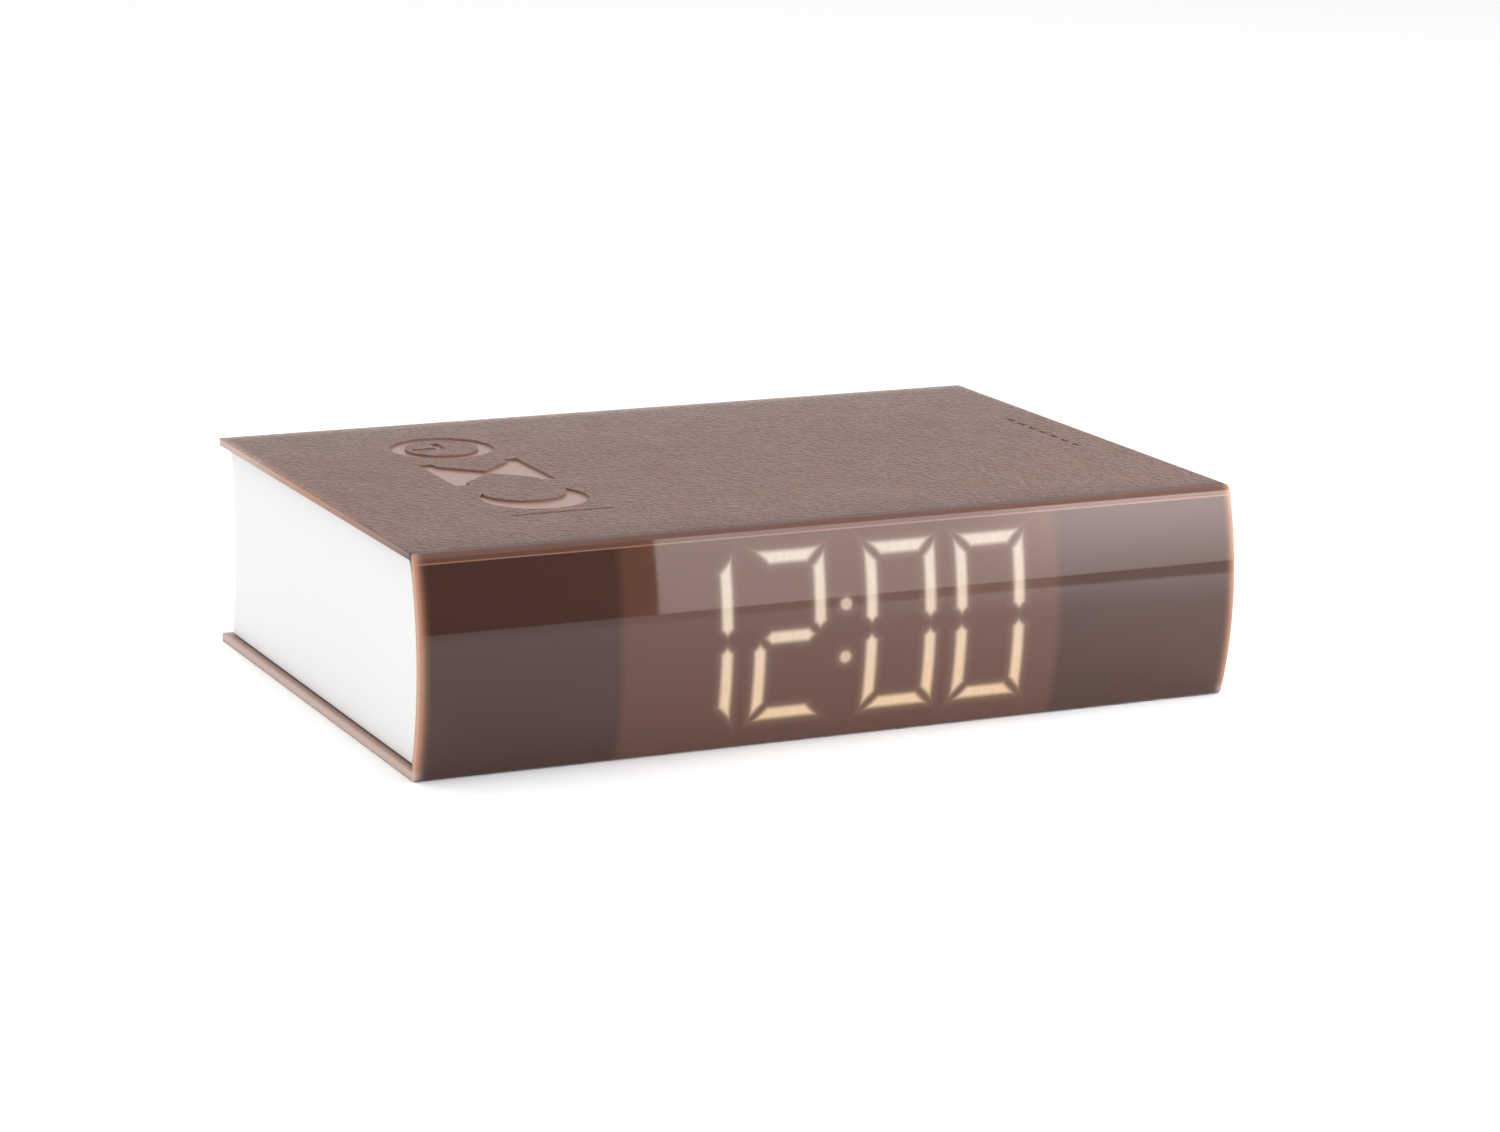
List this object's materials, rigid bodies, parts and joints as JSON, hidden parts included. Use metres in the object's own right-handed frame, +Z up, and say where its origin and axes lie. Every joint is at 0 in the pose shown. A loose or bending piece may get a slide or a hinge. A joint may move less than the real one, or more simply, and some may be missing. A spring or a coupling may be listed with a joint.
{
  "type": "book-shaped alarm clock",
  "caption": "Table alarm clock shaped like a closed book: digits glow through a curved rubber spine, keys and power socket in the page edge, battery door underneath.",
  "frame": {"origin": "middle of the underside, on the surface that the clock stands on", "axes": "+X along the spine, -Y out of the spine and its display, +Y out of the page edge with the keys, +Z up"},
  "size_m": [0.184, 0.1264, 0.0459],
  "materials": {
    "binding_rubber": "translucent silicone rubber, leather-grained boards and glossy spine",
    "housing_abs": "moulded ABS, fine matt",
    "frame_abs": "moulded ABS, dark",
    "diffuser_film": "opal polycarbonate film",
    "reflector_plastic": "moulded reflector, white",
    "lens_resin": "cast diffusing resin, lit warm white",
    "led_package": "surface-mounted LED",
    "circuit_board": "glass epoxy with green solder mask",
    "zinc_steel": "zinc-plated steel",
    "chip_epoxy": "moulded epoxy package",
    "nickel_steel": "nickel-plated steel",
    "capacitor_can": "drawn aluminium can",
    "black_plastic": "moulded plastic, black",
    "header_nylon": "moulded nylon, natural",
    "ribbon_pvc": "flat PVC ribbon",
    "lead_pvc": "PVC-insulated lead",
    "cell_sleeve": "printed sleeve, plain",
    "spring_steel": "nickel-plated spring strip",
    "key_abs": "moulded ABS, light grey",
    "knob_abs": "moulded ABS, brown",
    "door_abs": "moulded ABS, fine matt"
  },
  "bodies": {
    "housing": {"cover_wrap": "binding_rubber", "housing_tray": "housing_abs", "housing_lid": "housing_abs", "lid_screws": "zinc_steel", "spine_frame": "frame_abs", "diffuser_film": "diffuser_film", "segment_reflector": "reflector_plastic", "hour_tens_lenses": "lens_resin", "hour_ones_lenses": "lens_resin", "colon_lenses": "lens_resin", "minute_tens_lenses": "lens_resin", "minute_ones_lenses": "lens_resin", "display_leds": "led_package", "display_board": "circuit_board", "display_screws": "zinc_steel", "main_board": "circuit_board", "board_screws": "zinc_steel", "controller_chip": "chip_epoxy", "driver_chips": "chip_epoxy", "clock_crystal": "nickel_steel", "smoothing_capacitors": "capacitor_can", "sounder": "black_plastic", "backup_cell_holder": "black_plastic", "backup_cell": "nickel_steel", "usb_socket": "nickel_steel", "ribbon_headers": "header_nylon", "display_ribbon": "ribbon_pvc", "key_ribbon": "ribbon_pvc", "battery_leads": "lead_pvc", "key_board": "circuit_board", "key_board_screws": "zinc_steel", "key_switches": "black_plastic", "alarm_switch": "nickel_steel", "battery_bay": "housing_abs", "battery_cells": "cell_sleeve", "contact_springs": "spring_steel", "contact_plates": "nickel_steel", "door_hinge_pin": "nickel_steel"},
    "mode_key_cap": {"mode_key": "key_abs"},
    "back_key_cap": {"back_key": "key_abs"},
    "forward_key_cap": {"forward_key": "key_abs"},
    "light_key_cap": {"light_key": "key_abs"},
    "snooze_key_cap": {"snooze_key": "key_abs"},
    "alarm_slide": {"alarm_knob": "knob_abs"},
    "door": {"battery_door": "door_abs", "door_screw": "zinc_steel"}
  },
  "joints": [
    {"name": "mode_key_press", "type": "slide", "parent": "housing", "child": "mode_key_cap", "axis": [0, -1, 0], "range_m": [0, 0.0008], "stiffness_N_per_m": 900, "springref_m": -0.0004},
    {"name": "back_key_press", "type": "slide", "parent": "housing", "child": "back_key_cap", "axis": [0, -1, 0], "range_m": [0, 0.0008], "stiffness_N_per_m": 900, "springref_m": -0.0004},
    {"name": "forward_key_press", "type": "slide", "parent": "housing", "child": "forward_key_cap", "axis": [0, -1, 0], "range_m": [0, 0.0008], "stiffness_N_per_m": 900, "springref_m": -0.0004},
    {"name": "light_key_press", "type": "slide", "parent": "housing", "child": "light_key_cap", "axis": [0, -1, 0], "range_m": [0, 0.0008], "stiffness_N_per_m": 900, "springref_m": -0.0004},
    {"name": "snooze_key_press", "type": "slide", "parent": "housing", "child": "snooze_key_cap", "axis": [0, -1, 0], "range_m": [0, 0.0008], "stiffness_N_per_m": 1400, "springref_m": -0.0004},
    {"name": "alarm_knob_slide", "type": "slide", "parent": "housing", "child": "alarm_slide", "axis": [1, 0, 0], "range_m": [0, 0.003]},
    {"name": "battery_door_hinge", "type": "hinge", "parent": "housing", "child": "door", "pos_m": [-0.022, -0.0297, 0.00275], "axis": [-1, 0, 0], "range_deg": [0, 90]}
  ]
}
